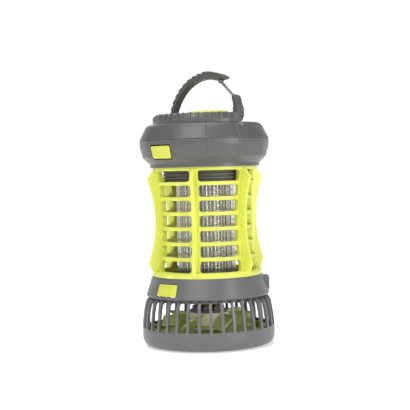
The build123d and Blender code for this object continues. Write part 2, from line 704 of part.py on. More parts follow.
def handle_gate():
    """Bent wire gate: an eye on the pin, two close legs and a round turn at the nose."""
    length = gate_frame()[2]
    half, radius = 1.3, 0.6
    middle = (length - 0.1) / 2
    legs = [Pos(middle, side * half, 0) * Rot(0, 90, 0) * Cylinder(radius, length - 2.5) for side in (-1, 1)]
    turn = Pos(length - 1.3, 0, 0) * (Torus(half, radius) & block(0, 5, -5, 5, -2, 2))
    eye = Rot(90, 0, 0) * (Cylinder(1.6, 3.8) - Cylinder(GATE_PIN_R + RUN, 6))
    return raised(along_gate(turn + legs + eye) - gate_bore())


def gate_bore():
    px, pz = polar(GATE_R, GATE_POST_ANGLE)
    return Pos(px, 0, pz) * Rot(90, 0, 0) * Cylinder(GATE_PIN_R + RUN, 8)


# ---------------------------------------------------------------- all pieces
PIECES = {
    "base_shell": base_shell, "base_floor": base_floor, "rubber_feet": rubber_feet, "tray_screws": tray_screws,
    "bug_tray": bug_tray, "fan_hub": fan_hub, "fan_blades": fan_blades, "rotor_magnet": rotor_magnet,
    "fan_shaft": fan_shaft, "motor_bushes": motor_bushes, "motor_core": motor_core, "motor_coils": motor_coils,
    "motor_bracket": motor_bracket, "motor_board": motor_board, "bracket_screws": bracket_screws,
    "collar": collar, "fan_guard": fan_guard, "fan_button": fan_button, "fan_switch": fan_switch,
    "cage_screws": cage_screws, "lower_insulator": lower_insulator, "grid_posts": grid_posts,
    "uv_tube": uv_tube, "led_core": led_core, "neck": neck, "lamp_holder": lamp_holder,
    "housing_lower": housing_lower, "housing_upper": housing_upper, "housing_screws": housing_screws,
    "housing_seal": housing_seal, "lamp_button": lamp_button, "lamp_switch": lamp_switch,
    "battery_cells": battery_cells, "battery_holder": battery_holder, "control_board": control_board,
    "hv_transformer": hv_transformer, "charging_socket": charging_socket, "charge_board": charge_board,
    "port_cover": port_cover, "port_pin": port_pin, "crown_ring": crown_ring, "top_bridge": top_bridge,
    "top_cap": top_cap, "handle_arch": handle_arch, "handle_post": handle_post, "handle_axle": handle_axle,
    "gate_pin": gate_pin, "handle_gate": handle_gate,
}


def main():
    os.makedirs("parts", exist_ok=True)
    pitch = (GRID_Z1 - GRID_Z0) / (GRID_RINGS - 1)
    shapes = {name: make() for name, make in PIECES.items()}
    shapes["cage_half_front"] = cage_half(-1)
    shapes["cage_half_back"] = cage_half(1)
    shapes["latch_right"] = spin(LATCH_ANGLE) * latch()
    shapes["latch_left"] = spin(-LATCH_ANGLE) * latch()
    shapes["grid_outer"] = grid(GRID_OUTER_R, GRID_Z0, GRID_Z1, GRID_RINGS, 15)
    shapes["grid_inner"] = grid(GRID_INNER_R, GRID_Z0 + pitch / 2, GRID_Z1 - pitch / 2, GRID_RINGS - 1, 0)
    for name, shape in shapes.items():
        export_step(shape, f"parts/{name}.step")


main()
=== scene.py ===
"""Electric bug zapper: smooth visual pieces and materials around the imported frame.

Shapes are drawn in millimetres about +Z, and written in metres. Angles are in degrees about Z,
counted from the front (-Y) towards +X.
"""

import json
from math import ceil, cos, degrees, hypot, pi, radians, sin, sqrt

import bmesh
import bpy
from mathutils import Matrix, Quaternion, Vector


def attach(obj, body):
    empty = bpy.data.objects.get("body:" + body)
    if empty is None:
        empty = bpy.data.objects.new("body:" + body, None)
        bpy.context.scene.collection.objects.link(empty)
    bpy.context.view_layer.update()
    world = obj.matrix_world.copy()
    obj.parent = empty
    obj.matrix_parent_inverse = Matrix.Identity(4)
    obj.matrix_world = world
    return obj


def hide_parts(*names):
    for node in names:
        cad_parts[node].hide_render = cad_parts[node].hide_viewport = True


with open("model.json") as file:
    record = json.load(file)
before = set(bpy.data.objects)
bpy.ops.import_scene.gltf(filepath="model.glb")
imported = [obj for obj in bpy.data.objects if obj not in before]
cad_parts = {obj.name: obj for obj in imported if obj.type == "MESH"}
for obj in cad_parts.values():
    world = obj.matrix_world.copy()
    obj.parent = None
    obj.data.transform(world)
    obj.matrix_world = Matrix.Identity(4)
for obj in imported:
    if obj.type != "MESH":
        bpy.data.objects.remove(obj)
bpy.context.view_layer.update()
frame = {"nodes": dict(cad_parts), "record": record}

MM = 0.001
scene = bpy.context.scene

# Driving dimensions: millimetres, degrees and counts
BASE_R = 63.0
BASE_TOP = 46.8
SLATS = 36
BLADES = 7
FAN_TURN = 17.3          # resting turn of the rotor
BUTTON_R = 56.4          # collar radius at the fan button
FAN_BUTTON_Z = 56.0
LATCH_ANGLE = 135.0
LATCH_Z = 57.15
COLUMNS = 6
SLOTS = 7
SLOT_Z = 77              # middle of the lowest slot
SLOT_PITCH = 14
GRID_Z0 = 75.0
GRID_RINGS = 17
GRID_PITCH = 77.0 / 16
PANELS = 12
LAMP_BUTTON_Z = 183.3
LID_TOP = 209.8
CAP_PLACE = (0.0, 6.0)   # the cap stands behind the middle
HANDLE_R = 45.0
PIN_R, PIN_ANGLE = 42.6, 22
GATE_R, GATE_ANGLE = 38.5, 59.2
GATE_HALF, GATE_WIRE_R = 1.45, 0.7


# ---------------------------------------------------------------- materials
def wire_up(name):
    """New material with its node tree, Principled shader and object coordinates."""
    material = bpy.data.materials.new(name)
    material.use_nodes = True
    tree = material.node_tree
    shader = tree.nodes["Principled BSDF"]
    place = tree.nodes.new("ShaderNodeTexCoord")
    return material, tree, shader, place.outputs["Object"]


def noise(tree, where, scale, detail=3.0, rough=0.5, stretch=None):
    """Noise texture, stretched along an axis when asked."""
    if stretch:
        mapping = tree.nodes.new("ShaderNodeMapping")
        mapping.inputs["Scale"].default_value = stretch
        tree.links.new(where, mapping.inputs["Vector"])
        where = mapping.outputs["Vector"]
    texture = tree.nodes.new("ShaderNodeTexNoise")
    texture.inputs["Scale"].default_value = scale
    texture.inputs["Detail"].default_value = detail
    texture.inputs["Roughness"].default_value = rough
    tree.links.new(where, texture.inputs["Vector"])
    return texture.outputs["Fac"]


def ramp(tree, source, low, high, out_low=0.0, out_high=1.0):
    """Source stretched from low..high to out_low..out_high, and held there."""
    node = tree.nodes.new("ShaderNodeMapRange")
    for key, value in zip(("From Min", "From Max", "To Min", "To Max"), (low, high, out_low, out_high)):
        node.inputs[key].default_value = value
    tree.links.new(source, node.inputs["Value"])
    return node.outputs["Result"]


def blend_colours(tree, factor, first, second):
    """Mix of two colours; either may be a tuple or a socket."""
    node = tree.nodes.new("ShaderNodeMix")
    node.data_type = "RGBA"
    tree.links.new(factor, node.inputs["Factor"])
    for socket, value in ((node.inputs[6], first), (node.inputs[7], second)):
        if isinstance(value, tuple):
            socket.default_value = (*value, 1.0)
        else:
            tree.links.new(value, socket)
    return node.outputs[2]


def bump(tree, shader, height, strength, distance):
    """Bump of a height up to a distance in millimetres."""
    node = tree.nodes.new("ShaderNodeBump")
    node.inputs["Strength"].default_value = strength
    node.inputs["Distance"].default_value = distance * MM
    tree.links.new(height, node.inputs["Height"])
    tree.links.new(node.outputs["Normal"], shader.inputs["Normal"])


def scaled(colour, factor):
    """Colour made darker or paler by a factor."""
    return tuple(channel * factor for channel in colour)


def moulded(name, colour, rough, edge=None, grain=1500, relief=0.25, mottle=0.07, settings=()):
    """Moulded plastic: spark-eroded grain, faint flow mottling, and convex edges painted paler, partly as
    wear and partly as painted highlight.
    """
    material, tree, shader, where = wire_up(name)
    patches = noise(tree, where, 38, 4.0, 0.6)
    flow = ramp(tree, patches, 0.35, 0.65)
    base = blend_colours(tree, flow, scaled(colour, 1 - mottle), scaled(colour, 1 + mottle))
    geometry = tree.nodes.new("ShaderNodeNewGeometry")
    # Convex edges, found by pointiness, take the paler edge colour: partly worn plastic, partly a painted
    # highlight where bevels and ridges catch the light.
    worn_and_highlit_edges = ramp(tree, geometry.outputs["Pointiness"], 0.515, 0.60, 0.0, 0.75)
    base = blend_colours(tree, worn_and_highlit_edges, base, edge or tuple(channel * 1.5 + 0.01 for channel in colour))
    tree.links.new(base, shader.inputs["Base Color"])
    fine = noise(tree, where, grain, 2.0, 0.6)
    tree.links.new(ramp(tree, fine, 0.3, 0.7, rough - 0.05, rough + 0.06), shader.inputs["Roughness"])
    bump(tree, shader, fine, relief, 0.06)
    for key, value in settings:
        shader.inputs[key].default_value = value
    return material


def metal(name, colour, rough, stretch=(1, 1, 1), scale=900, tarnish=None):
    """Bare metal with drawn or brushed streaks and a little tarnish."""
    material, tree, shader, where = wire_up(name)
    streaks = noise(tree, where, scale, 3.0, 0.6, stretch)
    stains = noise(tree, where, 120, 4.0, 0.65)
    base = blend_colours(tree, ramp(tree, stains, 0.4, 0.75), colour, tarnish or scaled(colour, 0.72))
    tree.links.new(base, shader.inputs["Base Color"])
    tree.links.new(ramp(tree, streaks, 0.3, 0.7, rough - 0.08, rough + 0.1), shader.inputs["Roughness"])
    shader.inputs["Metallic"].default_value = 1.0
    bump(tree, shader, streaks, 0.2, 0.03)
    return material


def circuit_board(name):
    """Green solder mask with paler tracks and tinned pads."""
    material, tree, shader, where = wire_up(name)
    tracks = tree.nodes.new("ShaderNodeTexBrick")
    tracks.inputs["Scale"].default_value = 420
    tracks.inputs["Mortar Size"].default_value = 0.06
    tracks.inputs["Color1"].default_value = (0.012, 0.10, 0.045, 1)
    tracks.inputs["Color2"].default_value = (0.010, 0.085, 0.04, 1)
    tracks.inputs["Mortar"].default_value = (0.03, 0.18, 0.08, 1)
    tree.links.new(where, tracks.inputs["Vector"])
    pads = tree.nodes.new("ShaderNodeTexVoronoi")
    pads.inputs["Scale"].default_value = 330
    tree.links.new(where, pads.inputs["Vector"])
    dots = ramp(tree, pads.outputs["Distance"], 0.16, 0.12)
    base = blend_colours(tree, dots, tracks.outputs["Color"], (0.62, 0.62, 0.58))
    tree.links.new(base, shader.inputs["Base Color"])
    tree.links.new(ramp(tree, dots, 0, 1, 0.38, 0.25), shader.inputs["Roughness"])
    bump(tree, shader, dots, 0.3, 0.05)
    return material


def windings(name):
    """Enamelled copper wire wound round the motor's teeth, with painted shade in the gaps between turns."""
    material, tree, shader, where = wire_up(name)
    turns = tree.nodes.new("ShaderNodeTexWave")
    turns.bands_direction = "Z"
    turns.inputs["Scale"].default_value = 620
    turns.inputs["Distortion"].default_value = 1.5
    turns.inputs["Detail"].default_value = 1.0
    tree.links.new(where, turns.inputs["Vector"])
    # Colour runs from dark in the gaps between turns, as painted shade, to bright copper on each turn's
    # crest.
    base = blend_colours(tree, turns.outputs["Fac"], (0.22, 0.055, 0.02), (0.80, 0.30, 0.13))
    tree.links.new(base, shader.inputs["Base Color"])
    tree.links.new(ramp(tree, turns.outputs["Fac"], 0, 1, 0.42, 0.26), shader.inputs["Roughness"])
    shader.inputs["Metallic"].default_value = 0.85
    bump(tree, shader, turns.outputs["Fac"], 0.6, 0.12)
    return material


def lamp_glass(name):
    """Thin clear tube with a faint violet tint and a dusting of phosphor."""
    material, tree, shader, where = wire_up(name)
    dust = noise(tree, where, 260, 5.0, 0.65)
    tint = blend_colours(tree, ramp(tree, dust, 0.35, 0.7), (0.93, 0.92, 0.96), (0.80, 0.80, 0.84))
    tree.links.new(tint, shader.inputs["Base Color"])
    tree.links.new(ramp(tree, dust, 0.35, 0.7, 0.05, 0.22), shader.inputs["Roughness"])
    shader.inputs["Transmission Weight"].default_value = 0.30
    shader.inputs["IOR"].default_value = 1.45
    bump(tree, shader, dust, 0.05, 0.03)
    return material


def cell_wrap(name):
    """Plain printed shrink sleeve of a battery cell, with end bands."""
    material, tree, shader, where = wire_up(name)
    bands = noise(tree, where, 60, 1.0, 0.4, (1, 0, 0))
    base = blend_colours(tree, ramp(tree, bands, 0.45, 0.5), (0.05, 0.16, 0.42), (0.07, 0.22, 0.52))
    tree.links.new(base, shader.inputs["Base Color"])
    wrinkles = noise(tree, where, 420, 3.0, 0.5)
    tree.links.new(ramp(tree, wrinkles, 0.3, 0.7, 0.28, 0.4), shader.inputs["Roughness"])
    bump(tree, shader, wrinkles, 0.2, 0.05)
    return material


GREY = (0.080, 0.081, 0.079)
BASE_GREY = (0.108, 0.108, 0.115)
LIME = (0.60, 0.635, 0.080)

SUBSURFACE = (("Subsurface Weight", 0.22), ("Subsurface Radius", (1.0, 1.0, 0.25)),
              ("Subsurface Scale", 0.0022))
CLEAR = (("Transmission Weight", 0.55), ("IOR", 1.49))

# The third colour given to each moulded plastic is its paler edge colour: partly wear, partly painted
# highlight on edges and ridges.
MATERIALS = {
    "grey_shell": moulded("grey_shell", GREY, 0.36, (0.20, 0.20, 0.195)),
    "grey_base": moulded("grey_base", BASE_GREY, 0.38, (0.22, 0.22, 0.225), grain=1700),
    "dark_handle": moulded("dark_handle", (0.058, 0.060, 0.057), 0.50, (0.16, 0.165, 0.155), 900, 0.5),
    "dark_inner": moulded("dark_inner", (0.085, 0.090, 0.074), 0.45),
    "lime_cage": moulded("lime_cage", LIME, 0.34, (0.86, 0.93, 0.16), 1200, 0.12, 0.05, SUBSURFACE),
    "lime_button": moulded("lime_button", (0.57, 0.59, 0.068), 0.46, (0.76, 0.79, 0.20), 1400, 0.25, 0.05,
                           SUBSURFACE),
    "lime_tray": moulded("lime_tray", (0.36, 0.46, 0.035), 0.40, (0.55, 0.66, 0.08)),
    "lime_fan": moulded("lime_fan", (0.70, 0.75, 0.32), 0.18, (0.80, 0.86, 0.42), 500, 0.05, 0.10, CLEAR),
    "cream_hub": moulded("cream_hub", (0.90, 0.82, 0.62), 0.34, (0.86, 0.82, 0.66), 800, 0.10),
    "rubber": moulded("rubber", (0.022, 0.022, 0.023), 0.68, (0.05, 0.05, 0.05), 1100, 0.6),
    "steel": metal("steel", (0.26, 0.26, 0.255), 0.34, (1, 1, 12)),
    "grid_metal": metal("grid_metal", (0.76, 0.74, 0.67), 0.28, (1, 1, 6), 700, (0.60, 0.57, 0.48)),
    "zinc_screw": metal("zinc_screw", (0.66, 0.67, 0.70), 0.30, (1, 1, 1), 600),
    "copper": windings("copper"),
    "bronze": metal("bronze", (0.62, 0.42, 0.20), 0.38, (1, 1, 1), 800),
    "magnet": moulded("magnet", (0.055, 0.055, 0.06), 0.50, (0.14, 0.14, 0.15), 700, 0.5),
    "board": circuit_board("board"),
    "lamp_glass": lamp_glass("lamp_glass"),
    "cell_wrap": cell_wrap("cell_wrap"),
    "socket_metal": metal("socket_metal", (0.72, 0.73, 0.74), 0.22, (1, 8, 1), 700),
}

node_slots = {part["node"]: part["material_slot"] for part in frame["record"]["subparts"]}
for node_name, node_object in frame["nodes"].items():
    node_object.data.materials.clear()
    node_object.data.materials.append(MATERIALS[node_slots[node_name]])


# ---------------------------------------------------------------- mesh tools
class Net:
    """Points and faces of one mesh, in millimetres."""

    def __init__(self):
        self.points, self.faces = [], []

    def add(self, points, faces):
        start = len(self.points)
        self.points += [tuple(point) for point in points]
        self.faces += [[start + index for index in face] for face in faces]


def piece(name, net, body, replaced, bevel=0.3, segments=2, limit=30):
    """Object from a net: welded, with softened edges, on its body, in place of CAD nodes."""
    mesh = bpy.data.meshes.new(name)
    build = bmesh.new()
    corners = [build.verts.new(Vector(point) * MM) for point in net.points]
    for face in net.faces:
        build.faces.new([corners[index] for index in face])
    bmesh.ops.remove_doubles(build, verts=build.verts, dist=1e-6)
    bmesh.ops.recalc_face_normals(build, faces=build.faces)
    for face in build.faces:
        face.smooth = True
    build.to_mesh(mesh)
    build.free()
    slot = node_slots[replaced[0]]
    mesh.materials.append(MATERIALS[slot])
    item = bpy.data.objects.new(name, mesh)
    scene.collection.objects.link(item)
    if bevel:
        edges = item.modifiers.new("edges", "BEVEL")
        edges.width = bevel * MM
        edges.segments = segments
        edges.limit_method = "ANGLE"
        edges.angle_limit = radians(limit)
    shading = item.modifiers.new("shading", "WEIGHTED_NORMAL")
    shading.keep_sharp = True
    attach(item, body)
    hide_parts(*replaced)
    return item


def round_z(radius, angle, z):
    """Point at a radius, an angle from the front, and a height."""
    turn = radians(angle)
    return radius * sin(turn), -radius * cos(turn), z


def loft(net, loops, closed=False):
    """Skin through loops with the same number of points; open ends get a cap."""
    size, count = len(loops[0]), len(loops)
    faces = []
    for step in range(count if closed else count - 1):
        a, b = step * size, (step + 1) % count * size
        faces += [[a + i, a + (i + 1) % size, b + (i + 1) % size, b + i] for i in range(size)]
    if not closed:
        faces += [list(range(size))[::-1], [(count - 1) * size + i for i in range(size)]]
    net.add([point for loop in loops for point in loop], faces)


def lathe(net, profile, steps=144, shift=(0.0, 0.0)):
    """Closed outline of (radius, z) turned about an upright axis."""
    loops = []
    for step in range(steps):
        loop = [round_z(radius, 360 * step / steps, z) for radius, z in profile]
        loops.append([(x + shift[0], y + shift[1], z) for x, y, z in loop])
    loft(net, loops, closed=True)


def spline(points, per=5):
    """Smooth curve through points of any dimension."""
    curve = []
    for i in range(len(points) - 1):
        four = points[max(i - 1, 0)], points[i], points[i + 1], points[min(i + 2, len(points) - 1)]
        for k in range(per):
            t = k / per
            curve.append(tuple(
                0.5 * (2 * b + (c - a) * t + (2 * a - 5 * b + 4 * c - d) * t ** 2
                       + (3 * b - a - 3 * c + d) * t ** 3)
                for a, b, c, d in zip(*four)))
    curve.append(tuple(points[-1]))
    return curve


def spread(low, high, step):
    """Even grid lines from low to high, no further apart than step."""
    count = max(1, ceil((high - low) / step - 1e-6))
    return [low + (high - low) * k / count for k in range(count + 1)]


def cell(low, high, inner, step):
    """Grid lines of a cell with a window: its edges, a line near each, and lines along the straights."""
    return [low, (low + inner[0]) / 2, *spread(*inner, step), (inner[1] + high) / 2, high]


def ring_cells(count, half, corner, step):
    """Grid lines in degrees for a ring of equal cells, each with a window of the same half width."""
    pitch = 360 / count
    cells = []
    for k in range(count):
        middle = pitch * k
        straight = middle - half + corner, middle + half - corner
        cells.append(cell(middle - pitch / 2, middle + pitch / 2, straight, step))
    return cells


def between(values, centre, half):
    """The same spacing of values, centred and scaled to a new half width."""
    low, high = values[0], values[-1]
    return [centre + half * (2 * (value - low) / (high - low) - 1) for value in values]


def window_path(window, straight_u, straight_v):
    """Rounded outline (u, v) of a window given as (centre u, v, half u, v, corner u, v)."""
    cu, cv, hu, hv, ru, rv = window
    us, vs = between(straight_u, cu, hu - ru), between(straight_v, cv, hv - rv)

    def arc(side_u, side_v, angles):
        return [(cu + side_u * (hu - ru) + ru * cos(radians(a)),
                 cv + side_v * (hv - rv) + rv * sin(radians(a))) for a in angles]

    path = [(u, cv + hv) for u in us] + arc(1, 1, (67.5, 45, 22.5))
    path += [(cu + hu, v) for v in reversed(vs)] + arc(1, -1, (-22.5, -45, -67.5))
    path += [(u, cv - hv) for u in reversed(us)] + arc(-1, -1, (-112.5, -135, -157.5))
    return path + [(cu - hu, v) for v in vs] + arc(-1, 1, (157.5, 135, 112.5))


def cell_path(us, vs):
    """Outline of a cell, with one point for each point of its window's outline."""
    path = [(u, vs[-1]) for u in us[2:-2]] + [(us[-2], vs[-1]), (us[-1], vs[-1]), (us[-1], vs[-2])]
    path += [(us[-1], v) for v in reversed(vs[2:-2])] + [(us[-1], vs[1]), (us[-1], vs[0]), (us[-2], vs[0])]
    path += [(u, vs[0]) for u in reversed(us[2:-2])] + [(us[1], vs[0]), (us[0], vs[0]), (us[0], vs[1])]
    return path + [(us[0], v) for v in vs[2:-2]] + [(us[0], vs[-2]), (us[0], vs[-1]), (us[1], vs[-1])]


def wall(net, columns, rows, at, windows=(), closed=True):
    """Thick wall on a grid of cells, with a rounded window through some of them.

    columns and rows list each cell's grid lines, and at(u, v, side) places a point of the outer
    (side 0) or inner (side 1) face.
    """
    windows = dict(windows)
    index, points, faces = {}, [], []
    start, end = columns[0][0], columns[-1][-1]

    def corner(place, side):
        u, v = place
        if closed and u > end - 1e-6:
            u -= end - start
        key = round(u, 4), round(v, 4), side
        if key not in index:
            index[key] = len(points)
            points.append(at(u, v, side))
        return index[key]

    def plate(*places):
        faces.append([corner(place, 0) for place in places])
        faces.append([corner(place, 1) for place in reversed(places)])

    def rim(a, b):
        faces.append([corner(a, 0), corner(b, 0), corner(b, 1), corner(a, 1)])

    for i, us in enumerate(columns):
        for j, vs in enumerate(rows):
            if (i, j) in windows:
                outside, hole = cell_path(us, vs), window_path(windows[i, j], us[2:-2], vs[2:-2])
                for k in range(len(hole)):
                    n = (k + 1) % len(hole)
                    plate(outside[k], outside[n], hole[n], hole[k])
                    rim(hole[k], hole[n])
            else:
                for u0, u1 in zip(us, us[1:]):
                    for v0, v1 in zip(vs, vs[1:]):
                        plate((u0, v0), (u0, v1), (u1, v1), (u1, v0))
        for u0, u1 in zip(us, us[1:]):
            rim((u0, rows[0][0]), (u1, rows[0][0]))
            rim((u0, rows[-1][-1]), (u1, rows[-1][-1]))
    if not closed:
        for vs in rows:
            for v0, v1 in zip(vs, vs[1:]):
                rim((start, v0), (start, v1))
                rim((end, v0), (end, v1))
    net.add(points, faces)


def section(knots, v):
    """Outer and inner (radius, z) at level v, from knots of (v, outer r, z, inner r, z)."""
    for low, high in zip(knots, knots[1:]):
        if v <= high[0] + 1e-9:
            break
    share = min(max((v - low[0]) / (high[0] - low[0]), 0.0), 1.0)
    values = [a + (b - a) * share for a, b in zip(low[1:], high[1:])]
    return values[:2], values[2:]


def pad(net, at, window, straight_u, straight_v, levels):
    """Rounded pad: levels are (inset u, inset v, height) from its hidden back to its face."""
    cu, cv, hu, hv, ru, rv = window
    loops = []
    for inset_u, inset_v, height in levels:
        shape = cu, cv, hu - inset_u, hv - inset_v, max(ru - inset_u, 0.05), max(rv - inset_v, 0.05)
        path = window_path(shape, straight_u, straight_v)
        loops.append([at(u, v, height) for u, v in path])
    points = [point for loop in loops for point in loop]
    size = len(loops[0])
    faces = [[a + i, a + (i + 1) % size, a + size + (i + 1) % size, a + size + i]
             for a in range(0, size * (len(loops) - 1), size) for i in range(size)]
    faces.append(list(range(size))[::-1])
    front, height = size * (len(loops) - 1), levels[-1][2]
    us = between(straight_u, cu, shape[2] - shape[4])
    vs = between(straight_v, cv, shape[3] - shape[5])
    core = len(points)
    points += [at(u, v, height) for u in us for v in vs]

    def inner(i, j):
        return core + i * len(vs) + j

    nu, nv = len(us), len(vs)
    faces += [[inner(i, j), inner(i, j + 1), inner(i + 1, j + 1), inner(i + 1, j)]
              for i in range(nu - 1) for j in range(nv - 1)]
    ring = [inner(i, nv - 1) for i in range(nu)] + [inner(nu - 1, nv - 1)] * 3
    ring += [inner(nu - 1, j) for j in reversed(range(nv))] + [inner(nu - 1, 0)] * 3
    ring += [inner(i, 0) for i in reversed(range(nu))] + [inner(0, 0)] * 3
    ring += [inner(0, j) for j in range(nv)] + [inner(0, nv - 1)] * 3
    for i in range(size):
        n = (i + 1) % size
        face = [front + i, front + n, ring[n]]
        if ring[i] != ring[n]:
            face.append(ring[i])
        faces.append(face)
    net.add(points, faces)


def emblem(net, at, centre, outline, low, high):
    """Small raised shape on a curved face, from an outline in millimetres."""
    radius = hypot(*at(centre[0], centre[1], high)[:2])
    shape = [(centre[0] + degrees(x / radius), centre[1] + z) for x, z in outline]
    loft(net, [[at(u, v, low) for u, v in shape], [at(u, v, high) for u, v in shape]])


def pipe(net, points, radius, sides=10, closed=False):
    """Round bar along a path."""
    path = [Vector(point) for point in points]
    count = len(path)
    loops, normal = [], None
    for i, point in enumerate(path):
        ahead = path[(i + 1) % count] if closed or i + 1 < count else point
        behind = path[i - 1] if closed or i else point
        along = (ahead - behind).normalized()
        if normal is None:
            normal = along.orthogonal().normalized()
        normal = (normal - along * normal.dot(along)).normalized()
        across = along.cross(normal)
        loops.append([point + radius * (normal * cos(2 * pi * k / sides) + across * sin(2 * pi * k / sides))
                      for k in range(sides)])
    loft(net, loops, closed)


def box_loop(x0, x1, z0, z1, corner, y):
    """Rounded rectangle in an XZ plane, as a loop of points."""
    loop = []
    for cx, cz, first in ((x1 - corner, z1 - corner, 0), (x0 + corner, z1 - corner, 90),
                          (x0 + corner, z0 + corner, 180), (x1 - corner, z0 + corner, 270)):
        for angle in (first, first + 30, first + 60, first + 90):
            loop.append((cx + corner * cos(radians(angle)), y, cz + corner * sin(radians(angle))))
    return loop


# ---------------------------------------------------------------- fan base
def base_shell():
    """Slatted bowl: solid lower band, 36 upright slats and a shoulder that curves in."""
    bowl = spline([(58.0, 1.4), (60.4, 2.7), (61.9, 4.9), (62.8, 8.0), (BASE_R, 13.0), (62.9, 20.0),
                   (62.3, 27.0), (61.2, 35.0), (59.9, 41.0), (58.8, 43.8), (56.9, 45.9), (54.4, BASE_TOP)], 4)
    bowl = [(min(radius, BASE_R), min(z, BASE_TOP)) for radius, z in bowl]
    outside = [(56.0, 1.4), *bowl, (52.6, BASE_TOP), (50.5, BASE_TOP)]
    knots, level = [], 0.0
    for i, (radius, z) in enumerate(outside):
        before, after = outside[max(i - 1, 0)], outside[min(i + 1, len(outside) - 1)]
        if i:
            level += hypot(radius - before[0], z - before[1])
        along = after[0] - before[0], after[1] - before[1]
        length = hypot(*along)
        depth = 2.6 if z > 18 else 2.3
        knots.append((level, radius, z, radius - along[1] / length * depth, z + along[0] / length * depth))
    knots[0] = (0.0, 56.0, 1.4, 56.0, 3.2)
    knots[-1] = (level, 50.5, BASE_TOP, 50.5, 44.8)
    low = next(knot[0] for knot in knots if knot[2] > 18.2)
    high = next(knot[0] for knot in knots if knot[1] < 53.0 and knot[2] > 40)

    def at(u, v, side):
        radius, z = section(knots, v)[side]
        return round_z(radius, u, z)

    rows = [[knot[0] for knot in knots if knot[0] < low - 0.9] + [low - 0.8],
            cell(low - 0.8, high + 0.7, (low + 1.2, high - 1.2), 1.6),
            [high + 0.7, level]]
    half, corner = 3.78, 1.05
    columns = ring_cells(SLATS, half, corner, 2.7)
    middle, tall = (low + high) / 2, (high - low) / 2
    windows = [((k, 1), (360 / SLATS * k, middle, half, tall, corner, 1.2)) for k in range(SLATS)]
    net = Net()
    wall(net, columns, rows, at, windows)
    piece("base_bowl", net, "base", ["base_shell"], bevel=0.28)


def fan():
    """Cup-shaped hub with six ribs inside, and seven pitched blades on a low band."""
    hub = Net()
    lathe(hub, [(0, 15.4), (17.6, 15.4), (18.7, 15.7), (19.3, 16.4), (19.5, 17.4), (19.5, 31.0), (17.7, 31.0),
                (17.7, 18.8), (3.6, 18.6), (3.4, 22.4), (1.55, 22.4), (1.55, 18.2), (0, 18.2)], 96)
    for k in range(6):
        rib = [[round_z(radius, 60 * k + side / radius * 57.3, z) for side, z in
                ((-0.5, 18.4), (0.5, 18.4), (0.5, 21.0), (-0.5, 21.0))] for radius in (3.2, 17.8)]
        loft(hub, rib)
    piece("fan_cup", hub, "fan", ["fan_hub"])
    blades = Net()
    lathe(blades, [(19.55, 17.8), (21.4, 17.8), (21.4, 19.4), (19.55, 19.4)], 96)
    for k in range(BLADES):
        loops = []
        for radius, chord, pitch in spline([(20.2, 17.0, 52.0), (33.0, 20.4, 44.0), (44.8, 23.0, 37.6)], 6):
            lean = radians(pitch)
            reach = min(chord / 2, 6.9 / sin(lean))
            upper, lower = [], []
            for step in range(9):
                s = reach * (step / 4 - 1)
                camber = 1.3 * (1 - (s / reach) ** 2)
                for edge, side in ((upper, 0.8), (lower, -0.8)):
                    taper = side * (1 - 0.45 * (s / reach) ** 4) + camber - 0.6
                    x = s * cos(lean) - taper * sin(lean)
                    z = 24.6 + s * sin(lean) + taper * cos(lean)
                    turn = 360 / BLADES * k + FAN_TURN + degrees(x / radius)
                    edge.append(round_z(radius, turn, min(max(z, 17.9), 30.4)))
            loops.append(upper + lower[::-1])
        loft(blades, loops)
    piece("fan_rotor", blades, "fan", ["fan_blades"], bevel=0.15, limit=40)


# ---------------------------------------------------------------- collar, button and latches
def collar_radius(z):
    """Radius of the collar's cone at a height."""
    return 58.8 + (53.1 - 58.8) * (z - 48.8) / (65.6 - 48.8)


def collar():
    """Conical collar with windows for the fan button and both latches."""
    knots = [(40.0, 56.0, 47.6, 55.9, 48.8), (43.0, 57.7, 47.4, 56.0, 48.4), (48.8, 58.8, 48.8, 56.1, 48.9),
             (65.6, 53.1, 65.6, 50.7, 65.0), (67.0, 52.1, 66.8, 50.0, 65.2), (76.0, 43.0, 66.8, 43.0, 65.2)]

    def at(u, v, side):
        radius, z = section(knots, v)[side]
        return round_z(radius, u, z)

    rows = [[40.0, 43.0, 48.8], cell(48.8, 65.4, (51.4, 62.6), 1.5), [65.4, 65.6, 67.0, 71.5, 76.0]]
    columns = [cell(-18, 18, (-12, 12), 3), spread(18, 123, 3), cell(123, 147, (129, 141), 3),
               spread(147, 213, 3), cell(213, 237, (219, 231), 3), spread(237, 342, 3)]
    button = (0.0, FAN_BUTTON_Z, degrees(12.7 / BUTTON_R), 6.15, 1.6, 1.6)
    opening = (LATCH_Z, degrees(7.8 / 55.8), 7.75, 1.4, 1.4)
    windows = {(0, 1): button, (2, 1): (LATCH_ANGLE, *opening), (4, 1): (360 - LATCH_ANGLE, *opening)}
    net = Net()
    wall(net, columns, rows, at, windows)
    piece("collar_cone", net, "lantern", ["collar"], bevel=0.4, segments=3)


BOLT = [(-0.5, 3.1), (1.5, 3.1), (0.5, 0.7), (1.9, 0.7), (-1.3, -3.3), (-0.35, -0.5), (-1.7, -0.5)]


def fan_sign():
    """Outlines of three blades and a boss, in millimetres."""
    shapes = [[(0.75 * cos(pi * k / 5), 0.75 * sin(pi * k / 5)) for k in range(10)]]
    for blade in range(3):
        turn = radians(90 + 120 * blade)
        shape = []
        for along, across in ((1.1, -0.3), (2.1, -0.9), (3.1, -0.5), (3.2, 0.5), (2.3, 1.1), (1.3, 0.6)):
            shape.append((along * cos(turn) - across * sin(turn), along * sin(turn) + across * cos(turn)))
        shapes.append(shape)
    return shapes


